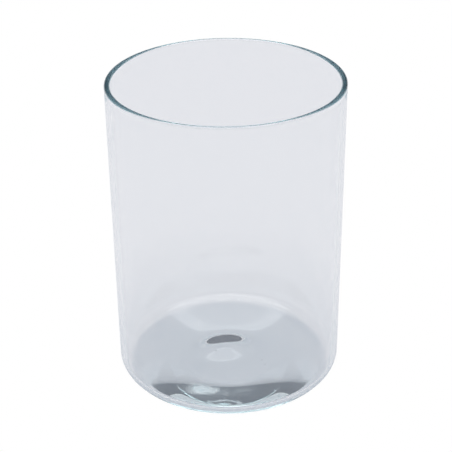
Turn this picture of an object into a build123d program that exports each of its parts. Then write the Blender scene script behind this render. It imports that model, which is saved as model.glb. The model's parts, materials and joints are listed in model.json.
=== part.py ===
from build123d import *

import math
import os

# Tall-form crystallizing dish: one piece of clear glass, turned about +Z.
# The origin is the centre of the ring that the dish stands on. Sizes are in millimetres.

# Driving dimensions
BODY_DIAMETER = 100.0  # outside of the straight wall
HEIGHT = 141.3  # from the standing ring to the top of the rim
WALL = 2.3  # thickness of the straight wall

# Rim: melted round in the flame, which also swells it inwards a little
RIM_SWELL = 0.1
RIM_SWELL_DEPTH = 3.5  # from the top of the rim down to the even wall

# Underside: a dimple on the axis, the flat standing ring round it, then a dome up to the heel
DIMPLE_RADIUS = 15.0
DIMPLE_RISE = 2.4
STAND_RADIUS = 20.5  # outer edge of the standing ring
DOME_END_RADIUS = 46.5  # where the dome turns into the heel
DOME_RISE = 5.8
DOME_POWER = 1.3  # 1 is a cone, 2 is a round bowl

# Inner floor: a crown, highest on the axis, down to the corner under the wall
CROWN_HEIGHT = 7.0
CROWN_END_RADIUS = 43.0
CROWN_END_HEIGHT = 6.7

DOME_POINTS = 9  # places where the smooth curve of the dome is worked out

# Worked out from the driving dimensions
OUTER_RADIUS = BODY_DIAMETER / 2
INNER_RADIUS = OUTER_RADIUS - WALL
RIM_ROUND = (WALL + RIM_SWELL) / 2
RIM_INNER_RADIUS = OUTER_RADIUS - 2 * RIM_ROUND
RIM_ROUND_Z = HEIGHT - RIM_ROUND
DOME_END_SLOPE = math.atan(DOME_POWER * DOME_RISE / (DOME_END_RADIUS - STAND_RADIUS))
CROWN_END_SLOPE = math.atan(2 * (CROWN_HEIGHT - CROWN_END_HEIGHT) / CROWN_END_RADIUS)
HEEL_RADIUS = (OUTER_RADIUS - DOME_END_RADIUS) / (1 - math.sin(DOME_END_SLOPE))
INNER_CORNER_RADIUS = (INNER_RADIUS - CROWN_END_RADIUS) / (1 + math.sin(CROWN_END_SLOPE))
HEEL_TOP = DOME_RISE + HEEL_RADIUS * math.cos(DOME_END_SLOPE)
INNER_CORNER_TOP = CROWN_END_HEIGHT + INNER_CORNER_RADIUS * math.cos(CROWN_END_SLOPE)


def dome_points():
    """Places on the underside from the standing ring out to the heel: it rises faster further out."""
    points = []
    for i in range(DOME_POINTS):
        way_out = i / (DOME_POINTS - 1)
        radius = STAND_RADIUS + way_out * (DOME_END_RADIUS - STAND_RADIUS)
        points.append((radius, DOME_RISE * way_out**DOME_POWER))
    return points


def outline():
    """Half section of the glass, from the axis at the underside round to the axis at the inner floor."""
    dimple_top = (0, DIMPLE_RISE)
    dimple_middle = (DIMPLE_RADIUS / 2, DIMPLE_RISE / 2)
    dimple_edge = (DIMPLE_RADIUS, 0)
    stand_edge = (STAND_RADIUS, 0)
    dome_end = (DOME_END_RADIUS, DOME_RISE)
    dome_end_way = (math.cos(DOME_END_SLOPE), math.sin(DOME_END_SLOPE))
    rim_outside = (OUTER_RADIUS, RIM_ROUND_Z)
    rim_top = (OUTER_RADIUS - RIM_ROUND, HEIGHT)
    rim_inside = (RIM_INNER_RADIUS, RIM_ROUND_Z)
    swell_end = (INNER_RADIUS, HEIGHT - RIM_SWELL_DEPTH)
    corner_top = (INNER_RADIUS, INNER_CORNER_TOP)
    crown_end = (CROWN_END_RADIUS, CROWN_END_HEIGHT)
    crown_end_way = (math.cos(CROWN_END_SLOPE), -math.sin(CROWN_END_SLOPE))
    crown_middle = (CROWN_END_RADIUS / 2, CROWN_HEIGHT)
    crown_top = (0, CROWN_HEIGHT)
    with BuildLine(Plane.XZ) as line:
        TangentArc(dimple_top, dimple_middle, tangent=(1, 0))
        TangentArc(dimple_edge, dimple_middle, tangent=(-1, 0))
        Line(dimple_edge, stand_edge)
        Spline(*dome_points(), tangents=((1, 0), dome_end_way))
        TangentArc(dome_end, (OUTER_RADIUS, HEEL_TOP), tangent=dome_end_way)
        Line((OUTER_RADIUS, HEEL_TOP), rim_outside)
        ThreePointArc(rim_outside, rim_top, rim_inside)
        TangentArc(rim_inside, swell_end, tangent=(0, -1))
        Line(swell_end, corner_top)
        TangentArc(crown_end, corner_top, tangent=crown_end_way)
        Bezier(crown_end, crown_middle, crown_top)
        Line(crown_top, dimple_top)
    return line.line


def make_dish():
    """The whole dish as one solid of glass."""
    return revolve(make_face(outline()), Axis.Z)


def main():
    os.makedirs("parts", exist_ok=True)
    dish = make_dish()
    print("glass_dish", dish.bounding_box().size, "volume", round(dish.volume), "mm3")
    export_step(dish, "parts/glass_dish.step")


main()
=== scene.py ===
import json
import math
import random

import bmesh
import bpy
from mathutils import Matrix, Vector


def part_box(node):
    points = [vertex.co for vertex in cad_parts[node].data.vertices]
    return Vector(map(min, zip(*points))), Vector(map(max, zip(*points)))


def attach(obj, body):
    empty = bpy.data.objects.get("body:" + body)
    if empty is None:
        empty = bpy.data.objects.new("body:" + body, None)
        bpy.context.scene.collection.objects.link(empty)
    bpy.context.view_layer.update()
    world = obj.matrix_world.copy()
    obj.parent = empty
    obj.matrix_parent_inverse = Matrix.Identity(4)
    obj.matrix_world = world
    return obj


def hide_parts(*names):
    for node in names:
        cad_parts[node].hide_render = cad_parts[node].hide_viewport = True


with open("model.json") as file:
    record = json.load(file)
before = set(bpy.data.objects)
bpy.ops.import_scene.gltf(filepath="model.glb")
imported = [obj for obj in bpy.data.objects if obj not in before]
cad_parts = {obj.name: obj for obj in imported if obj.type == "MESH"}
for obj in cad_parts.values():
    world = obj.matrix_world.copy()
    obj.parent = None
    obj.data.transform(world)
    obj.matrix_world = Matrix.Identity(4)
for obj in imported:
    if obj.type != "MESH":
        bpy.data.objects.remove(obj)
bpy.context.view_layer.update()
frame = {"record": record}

MM = 0.001

# The dish, from the frame: its box, and the bore mount that gives the inside of the wall
low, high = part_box("glass_dish")
MOUNTS = {mount["name"]: mount for mount in frame["record"]["mounts"]}
OUTER_RADIUS = (high[0] - low[0]) / 2
INNER_RADIUS = MOUNTS["mouth"]["dims"]["r_mm"] * MM
HEIGHT = high[2] - low[2]

# Section of the glass, as in the CAD model
RIM_SWELL = 0.1 * MM
RIM_SWELL_DEPTH = 3.5 * MM
STAND_RADIUS = 20.5 * MM
DOME_END_RADIUS = 46.5 * MM
DOME_RISE = 5.8 * MM
DOME_POWER = 1.3
CROWN_HEIGHT = 7.0 * MM
CROWN_END_RADIUS = 43.0 * MM
CROWN_END_HEIGHT = 6.7 * MM
RIM_ROUND = (OUTER_RADIUS - INNER_RADIUS + RIM_SWELL) / 2

# Dimple in the underside, drawn as the hand-worked glass has it: oval, turned and a little off the axis
DIMPLE_CENTRE = (-1.8 * MM, 7.0 * MM)
DIMPLE_LONG_RADIUS = 17.0 * MM
DIMPLE_SHORT_RADIUS = 13.0 * MM
DIMPLE_TURN = math.radians(16)
DIMPLE_RISE = 2.4 * MM

# Seeds, the tiny bubbles shut in the glass of the floor
SEED_COUNT = 14
SEED_SMALLEST = 0.10 * MM
SEED_LARGEST = 0.28 * MM
SEED_REACH = 36.0 * MM
SEED_START = 5

# Clear borosilicate glass
REFRACTIVE_INDEX = 1.474
ABSORPTION_COLOR = (0.74, 0.87, 0.89, 1)
ABSORPTION_DENSITY = 9

# Unevenness of the surface: the noise scale of each kind, and how strongly it counts beside the waves
WAVES = 70
DRAW_LINES = 260
DRAW_LINE_STRETCH = 0.03
STIPPLE = 2600
DRAW_LINE_SHARE = 0.25
STIPPLE_SHARE = 0.03
WAVE_HEIGHT = 0.015 * MM

# How finely the surfaces are divided
SEGMENTS = 256
FLOOR_RINGS = 90
CORNER_STEPS = 20
WALL_STEPS = 20
SWELL_STEPS = 8
SEED_DIVISIONS = 2

# Studio: white to the camera, and soft greys to the glass.
# TABLE_SIZE is from the middle of the table to an edge, in metres.
WHITE = (1, 1, 1, 1)
TABLE_GLOW = (0.42, 0.48, 0.55, 1)
TABLE_ALBEDO = (0.48, 0.41, 0.36, 1)
TABLE_SIZE = 8.0
TABLE_GAP = 0.1 * MM

# The colours of the room, and the elevations in degrees at which it has them
BACKDROP = (1.25, 1.25, 1.25, 1)
WALLS = (0.15, 0.16, 0.19, 1)
LAMPS = (3.2, 3.2, 3.2, 1)
CEILING = (1.7, 1.7, 1.7, 1)
ROOM = (
    (-1, BACKDROP),
    (1, BACKDROP),
    (2.5, WALLS),
    (58, WALLS),
    (60, LAMPS),
    (66, LAMPS),
    (70, CEILING),
    (90, CEILING),
)

# Light turns many times inside the rim and the floor: with few bounces they come out black
LIGHT_PATH_BOUNCES = 256

# Camera, fitted to the outline of the dish
CAMERA_DISTANCE = 10.231 * OUTER_RADIUS
CAMERA_ELEVATION = math.radians(28.745)
CAMERA_ROLL = math.radians(-0.706)
CAMERA_TARGET = (-0.0125 * OUTER_RADIUS, 0, 1.4444 * OUTER_RADIUS)
CAMERA_LENS = 92.8
CAMERA_SENSOR = 36


def arc(centre, radius, start, end, steps):
    """Points of a circular arc in the half section, by its angles in radians."""
    points = []
    for i in range(steps + 1):
        angle = start + (end - start) * i / steps
        points.append((centre[0] + radius * math.cos(angle), centre[1] + radius * math.sin(angle)))
    return points


def between(start, end, steps):
    """Points inside a straight line of the half section, without its ends."""
    points = []
    for i in range(1, steps):
        t = i / steps
        points.append((start[0] + (end[0] - start[0]) * t, start[1] + (end[1] - start[1]) * t))
    return points


def half_wave(t):
    """1 at t = 0, falling smoothly to 0 at t = 1 and beyond."""
    return (math.cos(math.pi * min(t, 1)) + 1) / 2


def underside_height(radius):
    """Flat inside the standing ring, then the dome."""
    way_out = max(radius - STAND_RADIUS, 0) / (DOME_END_RADIUS - STAND_RADIUS)
    return DOME_RISE * way_out**DOME_POWER


def floor_height(radius):
    """The crown of the inner floor."""
    return CROWN_HEIGHT + (CROWN_END_HEIGHT - CROWN_HEIGHT) * (radius / CROWN_END_RADIUS) ** 2


def dimple_height(x, y):
    """What the dimple adds to the height of the underside at that place."""
    across, along = x - DIMPLE_CENTRE[0], y - DIMPLE_CENTRE[1]
    cos, sin = math.cos(DIMPLE_TURN), math.sin(DIMPLE_TURN)
    u = (across * cos + along * sin) / DIMPLE_LONG_RADIUS
    v = (along * cos - across * sin) / DIMPLE_SHORT_RADIUS
    return DIMPLE_RISE * half_wave(math.hypot(u, v))


def underside_section():
    """From the axis out along the underside and round the heel."""
    slope = math.atan(DOME_POWER * DOME_RISE / (DOME_END_RADIUS - STAND_RADIUS))
    heel = (OUTER_RADIUS - DOME_END_RADIUS) / (1 - math.sin(slope))
    centre = (OUTER_RADIUS - heel, DOME_RISE + heel * math.cos(slope))
    radii = [DOME_END_RADIUS * i / FLOOR_RINGS for i in range(FLOOR_RINGS)]
    points = [(radius, underside_height(radius)) for radius in radii]
    return points + arc(centre, heel, slope - math.pi / 2, 0, CORNER_STEPS)


def rim_section():
    """Over the round of the rim and down its swelling."""
    centre = (OUTER_RADIUS - RIM_ROUND, HEIGHT - RIM_ROUND)
    points = arc(centre, RIM_ROUND, 0, math.pi, CORNER_STEPS)
    for i in range(1, SWELL_STEPS + 1):
        t = i / SWELL_STEPS
        height = centre[1] + (RIM_ROUND - RIM_SWELL_DEPTH) * t
        points.append((INNER_RADIUS - RIM_SWELL * half_wave(t), height))
    return points


def floor_section():
    """Round the corner inside the wall and in along the crown to the axis."""
    slope = math.atan(2 * (CROWN_END_HEIGHT - CROWN_HEIGHT) / CROWN_END_RADIUS)
    corner = (INNER_RADIUS - CROWN_END_RADIUS) / (1 - math.sin(slope))
    centre = (INNER_RADIUS - corner, CROWN_END_HEIGHT + corner * math.cos(slope))
    points = arc(centre, corner, 0, slope - math.pi / 2, CORNER_STEPS)
    radii = [CROWN_END_RADIUS * (1 - i / FLOOR_RINGS) for i in range(1, FLOOR_RINGS + 1)]
    return points + [(radius, floor_height(radius)) for radius in radii]


def dish_section():
    """The whole half section, from the axis at the underside round to the axis at the inner floor."""
    underside, rim, floor = underside_section(), rim_section(), floor_section()
    outer_wall = between(underside[-1], rim[0], WALL_STEPS)
    inner_wall = between(rim[-1], floor[0], WALL_STEPS)
    return underside + outer_wall + rim + inner_wall + floor


def add_seeds(bm):
    """Small round holes in the glass of the floor, half way between its two faces."""
    chance = random.Random(SEED_START)
    for _ in range(SEED_COUNT):
        radius, angle = SEED_REACH * math.sqrt(chance.random()), 2 * math.pi * chance.random()
        x, y = radius * math.cos(angle), radius * math.sin(angle)
        under = underside_height(radius) + dimple_height(x, y)
        middle = Matrix.Translation((x, y, low[2] + (under + floor_height(radius)) / 2))
        size = chance.uniform(SEED_SMALLEST, SEED_LARGEST)
        seed = bmesh.ops.create_icosphere(bm, subdivisions=SEED_DIVISIONS, radius=size, matrix=middle)
        faces = {face for vert in seed["verts"] for face in vert.link_faces}
        bmesh.ops.reverse_faces(bm, faces=list(faces))


def lathe(name, section, added_height):
    """A closed mesh turned about Z from a half section that starts and ends on the axis.

    added_height gives what each of the underside's points is raised by at its place."""
    mesh = bpy.data.meshes.new(name)
    bm = bmesh.new()
    rings = []
    for index, (radius, height) in enumerate(section):
        count = SEGMENTS if radius > 0 else 1
        ring = []
        for i in range(count):
            angle = 2 * math.pi * i / SEGMENTS
            x, y = radius * math.cos(angle), radius * math.sin(angle)
            raised = added_height(x, y) if index < FLOOR_RINGS else 0
            ring.append(bm.verts.new((x, y, low[2] + height + raised)))
        rings.append(ring)
    for a, b in zip(rings, rings[1:]):
        for i in range(SEGMENTS):
            j = (i + 1) % SEGMENTS
            corners = [a[i % len(a)], a[j % len(a)], b[j % len(b)], b[i % len(b)]]
            bm.faces.new(list(dict.fromkeys(corners)))
    bmesh.ops.recalc_face_normals(bm, faces=bm.faces)
    add_seeds(bm)
    bm.to_mesh(mesh)
    bm.free()
    mesh.polygons.foreach_set("use_smooth", [True] * len(mesh.polygons))
    obj = bpy.data.objects.new(name, mesh)
    bpy.context.collection.objects.link(obj)
    return obj


def noise(nodes, links, place, scale, detail):
    """Smooth noise at the given scale."""
    texture = nodes.new("ShaderNodeTexNoise")
    texture.inputs["Scale"].default_value = scale
    texture.inputs["Detail"].default_value = detail
    links.new(place, texture.inputs["Vector"])
    return texture.outputs["Fac"]


def add_share(nodes, links, base, extra, share):
    """base + extra * share"""
    add = nodes.new("ShaderNodeMath")
    add.operation = "MULTIPLY_ADD"
    add.inputs[1].default_value = share
    links.new(extra, add.inputs[0])
    links.new(base, add.inputs[2])
    return add.outputs["Value"]


def uneven_surface(nodes, links):
    """The normals of hand-worked glass: slow waves, draw lines up the wall and a fine stipple."""
    place = nodes.new("ShaderNodeTexCoord").outputs["Object"]
    stretch = nodes.new("ShaderNodeMapping")
    stretch.inputs["Scale"].default_value = (1, 1, DRAW_LINE_STRETCH)
    links.new(place, stretch.inputs["Vector"])
    waves = noise(nodes, links, place, WAVES, 1)
    lines = noise(nodes, links, stretch.outputs["Vector"], DRAW_LINES, 1)
    stipple = noise(nodes, links, place, STIPPLE, 0)
    height = add_share(nodes, links, waves, lines, DRAW_LINE_SHARE)
    height = add_share(nodes, links, height, stipple, STIPPLE_SHARE)
    bump = nodes.new("ShaderNodeBump")
    bump.inputs["Strength"].default_value = 1
    bump.inputs["Distance"].default_value = WAVE_HEIGHT
    links.new(height, bump.inputs["Height"])
    return bump.outputs["Normal"]


def glass_material():
    """Clear borosilicate glass, faintly blue-green where it is seen through a great length."""
    material = bpy.data.materials.new("clear_glass")
    material.use_nodes = True
    nodes, links = material.node_tree.nodes, material.node_tree.links
    shader = nodes["Principled BSDF"]
    shader.inputs["Base Color"].default_value = (1, 1, 1, 1)
    shader.inputs["Roughness"].default_value = 0.0
    shader.inputs["IOR"].default_value = REFRACTIVE_INDEX
    shader.inputs["Transmission Weight"].default_value = 1.0
    links.new(uneven_surface(nodes, links), shader.inputs["Normal"])
    absorb = nodes.new("ShaderNodeVolumeAbsorption")
    absorb.inputs["Color"].default_value = ABSORPTION_COLOR
    absorb.inputs["Density"].default_value = ABSORPTION_DENSITY
    links.new(absorb.outputs["Volume"], nodes["Material Output"].inputs["Volume"])
    return material


def seen_or_given(nodes, links, seen, given, output):
    """The camera sees the first shader, the glass and the other surfaces get the second."""
    path = nodes.new("ShaderNodeLightPath")
    mix = nodes.new("ShaderNodeMixShader")
    links.new(path.outputs["Is Camera Ray"], mix.inputs["Fac"])
    links.new(given, mix.inputs[1])
    links.new(seen, mix.inputs[2])
    links.new(mix.outputs["Shader"], output.inputs["Surface"])


def table_material():
    """White to the camera; to the glass a faint glow that the dish can also shade."""
    material = bpy.data.materials.new("table")
    material.use_nodes = True
    nodes, links = material.node_tree.nodes, material.node_tree.links
    nodes.clear()
    output = nodes.new("ShaderNodeOutputMaterial")
    white = nodes.new("ShaderNodeEmission")
    white.inputs["Color"].default_value = WHITE
    glow = nodes.new("ShaderNodeEmission")
    glow.inputs["Color"].default_value = TABLE_GLOW
    diffuse = nodes.new("ShaderNodeBsdfDiffuse")
    diffuse.inputs["Color"].default_value = TABLE_ALBEDO
    both = nodes.new("ShaderNodeAddShader")
    links.new(glow.outputs["Emission"], both.inputs[0])
    links.new(diffuse.outputs["BSDF"], both.inputs[1])
    seen_or_given(nodes, links, white.outputs["Emission"], both.outputs["Shader"], output)
    return material


def add_table():
    """A wide table that the dish all but touches."""
    mesh = bpy.data.meshes.new("table")
    s = TABLE_SIZE
    mesh.from_pydata([(-s, -s, 0), (s, -s, 0), (s, s, 0), (-s, s, 0)], [], [(0, 1, 2, 3)])
    table = bpy.data.objects.new("table", mesh)
    table.location.z = low[2] - TABLE_GAP
    bpy.context.collection.objects.link(table)
    table.data.materials.append(table_material())


def room_ramp(nodes, links):
    """How bright the room is, by the height of the direction above the horizon."""
    place = nodes.new("ShaderNodeTexCoord")
    parts = nodes.new("ShaderNodeSeparateXYZ")
    half = nodes.new("ShaderNodeMapRange")
    half.inputs["From Min"].default_value = -1
    ramp = nodes.new("ShaderNodeValToRGB")
    links.new(place.outputs["Generated"], parts.inputs["Vector"])
    links.new(parts.outputs["Z"], half.inputs["Value"])
    links.new(half.outputs["Result"], ramp.inputs["Fac"])
    stops = ramp.color_ramp.elements
    while len(stops) > 1:
        stops.remove(stops[-1])
    for elevation, color in ROOM:
        stop = stops.new((math.sin(math.radians(elevation)) + 1) / 2)
        stop.color = color
    stops.remove(stops[0])
    return ramp.outputs["Color"]


def add_room():
    """White to the camera; to the glass the bands of the room."""
    world = bpy.data.worlds.new("room")
    bpy.context.scene.world = world
    world.use_nodes = True
    nodes, links = world.node_tree.nodes, world.node_tree.links
    nodes.clear()
    output = nodes.new("ShaderNodeOutputWorld")
    white = nodes.new("ShaderNodeBackground")
    white.inputs["Color"].default_value = WHITE
    soft = nodes.new("ShaderNodeBackground")
    links.new(room_ramp(nodes, links), soft.inputs["Color"])
    seen_or_given(nodes, links, white.outputs["Background"], soft.outputs["Background"], output)


def add_camera():
    """Looking down at the dish from the front, turned slightly about its own line of sight."""
    data = bpy.data.cameras.new("camera")
    data.lens = CAMERA_LENS
    data.sensor_width = CAMERA_SENSOR
    camera = bpy.data.objects.new("camera", data)
    back = Vector((0, -math.cos(CAMERA_ELEVATION), math.sin(CAMERA_ELEVATION)))
    camera.location = Vector(CAMERA_TARGET) + CAMERA_DISTANCE * back
    tilt = Matrix.Rotation(math.pi / 2 - CAMERA_ELEVATION, 4, "X")
    camera.rotation_euler = (tilt @ Matrix.Rotation(CAMERA_ROLL, 4, "Z")).to_euler()
    bpy.context.collection.objects.link(camera)
    bpy.context.scene.camera = camera


def set_light_paths():
    """Plain tones, and enough bounces for the glass."""
    scene = bpy.context.scene
    scene.view_settings.view_transform = "Standard"
    scene.cycles.max_bounces = LIGHT_PATH_BOUNCES
    scene.cycles.transmission_bounces = LIGHT_PATH_BOUNCES
    scene.cycles.glossy_bounces = LIGHT_PATH_BOUNCES


def add_dish():
    """The one piece of glass, in place of the CAD's."""
    dish = lathe("dish", dish_section(), dimple_height)
    dish.data.materials.append(glass_material())
    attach(dish, "root")
    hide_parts("glass_dish")


add_dish()
add_table()
add_room()
add_camera()
set_light_paths()
